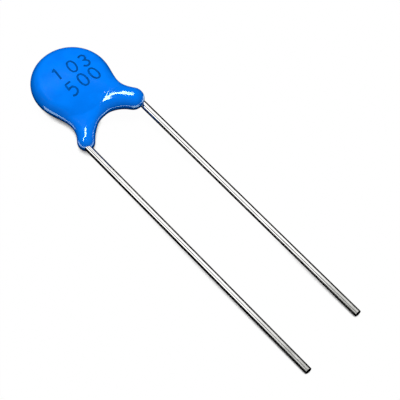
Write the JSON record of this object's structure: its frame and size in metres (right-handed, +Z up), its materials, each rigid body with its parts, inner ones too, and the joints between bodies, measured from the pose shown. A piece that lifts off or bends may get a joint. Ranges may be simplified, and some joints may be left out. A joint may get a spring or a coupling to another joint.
{
  "type": "ceramic disc capacitor",
  "caption": "Epoxy-dipped ceramic disc capacitor with splayed coated legs and straight tinned wire leads, for soldering into a circuit board.",
  "frame": {"origin": "under the middle of the whole part, on the surface it lies on", "axes": "+Z up, out of the marked face; +Y from the cut ends of the leads towards the disc; +X towards the front lead's side. The part lies as it rests, leaning 1.9 degrees down towards the ends of the leads."},
  "size_m": [0.0056, 0.0294, 0.0023],
  "materials": {
    "blue_epoxy": "glossy dipped epoxy, bright blue",
    "ceramic": "bare fired dielectric, matt tan",
    "fired_silver": "fired silver, matt",
    "solder": "solder, satin",
    "tinned_wire": "bright tinned wire"
  },
  "bodies": {
    "root": {"coating": "blue_epoxy", "ceramic_disc": "ceramic", "front_electrode": "fired_silver", "back_electrode": "fired_silver", "front_solder": "solder", "back_solder": "solder", "front_lead": "tinned_wire", "back_lead": "tinned_wire"}
  },
  "joints": []
}
